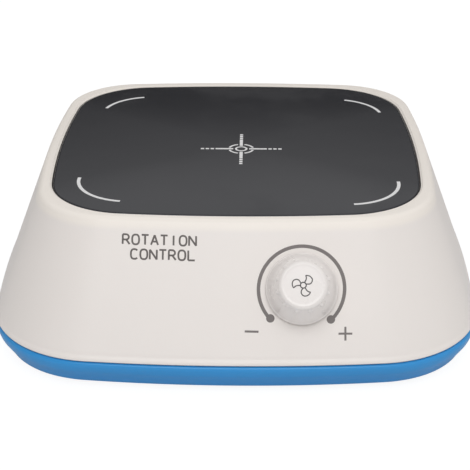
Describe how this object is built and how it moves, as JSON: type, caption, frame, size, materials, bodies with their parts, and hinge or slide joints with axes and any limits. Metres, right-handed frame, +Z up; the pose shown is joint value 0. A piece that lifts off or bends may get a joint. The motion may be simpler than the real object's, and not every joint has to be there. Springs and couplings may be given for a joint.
{
  "type": "magnetic stirrer",
  "caption": "Compact magnetic stirrer: white sloping case on a blue tray, flush black work plate, speed dial on the slanted front, magnet drive inside.",
  "frame": {"origin": "on the ground, under the middle of the overall outline", "axes": "+Z up out of the work plate, -Y towards the user and the dial, +X to the user's right"},
  "size_m": [0.15, 0.1533, 0.046],
  "materials": {
    "white_plastic": "fine satin moulding",
    "blue_plastic": "satin moulding",
    "black_glass": "dark toughened glass with grey print",
    "foam_tape": "adhesive foam",
    "rubber": "matt",
    "black_plastic": "satin",
    "grey_plastic": "natural moulding",
    "zinc_steel": "zinc plated",
    "nickel": "nickel plated",
    "dark_iron": "dark",
    "brass": "bright",
    "bronze": "oiled bush",
    "copper": "bright copper",
    "ferrite": "ground ferrite",
    "board_laminate": "solder mask over glass laminate",
    "red_wire": "wire sleeve",
    "black_wire": "wire sleeve",
    "grey_wire": "three-core ribbon sleeve"
  },
  "bodies": {
    "case": {"upper_shell": "white_plastic", "base_tray": "blue_plastic", "work_plate": "black_glass", "plate_tape": "foam_tape", "foot_1": "rubber", "foot_2": "rubber", "foot_3": "rubber", "foot_4": "rubber", "case_screw_1": "zinc_steel", "case_screw_2": "zinc_steel", "case_screw_3": "zinc_steel", "case_screw_4": "zinc_steel", "motor_bracket": "zinc_steel", "bracket_screw_1": "zinc_steel", "bracket_screw_2": "zinc_steel", "bracket_screw_3": "zinc_steel", "motor_can": "nickel", "motor_end_cap": "black_plastic", "bearing_upper": "bronze", "bearing_lower": "bronze", "field_magnet_right": "ferrite", "field_magnet_left": "ferrite", "motor_screw_1": "zinc_steel", "motor_screw_2": "zinc_steel", "motor_terminal_1": "brass", "motor_terminal_2": "brass", "control_board": "board_laminate", "board_screw_1": "zinc_steel", "board_screw_2": "zinc_steel", "dc_jack": "black_plastic", "dc_jack_pin": "nickel", "capacitor": "dark_iron", "driver_chip": "black_plastic", "motor_connector": "grey_plastic", "pot_connector": "grey_plastic", "pot_body": "zinc_steel", "pot_bushing": "brass", "pot_washer": "zinc_steel", "pot_nut": "nickel", "pot_terminal_1": "brass", "pot_terminal_2": "brass", "pot_terminal_3": "brass", "switch_housing": "black_plastic", "switch_terminal_1": "brass", "switch_terminal_2": "brass", "motor_wire_red": "red_wire", "motor_wire_black": "black_wire", "pot_cable": "grey_wire", "switch_wire_1": "black_wire", "switch_wire_2": "black_wire"},
    "stir_rotor": {"motor_shaft": "zinc_steel", "armature": "dark_iron", "commutator": "copper", "magnet_carrier": "grey_plastic", "stir_magnet_right": "nickel", "stir_magnet_left": "nickel", "carrier_set_screw": "dark_iron"},
    "speed_knob": {"knob": "white_plastic", "pot_shaft": "nickel"},
    "power_rocker": {"switch_rocker": "black_plastic"}
  },
  "joints": [
    {"name": "knob_turn", "type": "hinge", "parent": "case", "child": "speed_knob", "pos_m": [0.0192, -0.06262, 0.02923], "axis": [0, 0.8429, -0.5381], "range_deg": [0, 270]},
    {"name": "stir_spin", "type": "hinge", "parent": "case", "child": "stir_rotor", "pos_m": [0.0013, 0.0036, 0.036], "axis": [0, 0, 1], "continuous": true},
    {"name": "rocker_tilt", "type": "hinge", "parent": "case", "child": "power_rocker", "pos_m": [0, 0.06976, 0.02696], "axis": [0, 0.1779, -0.9841], "range_deg": [0, 16]}
  ]
}
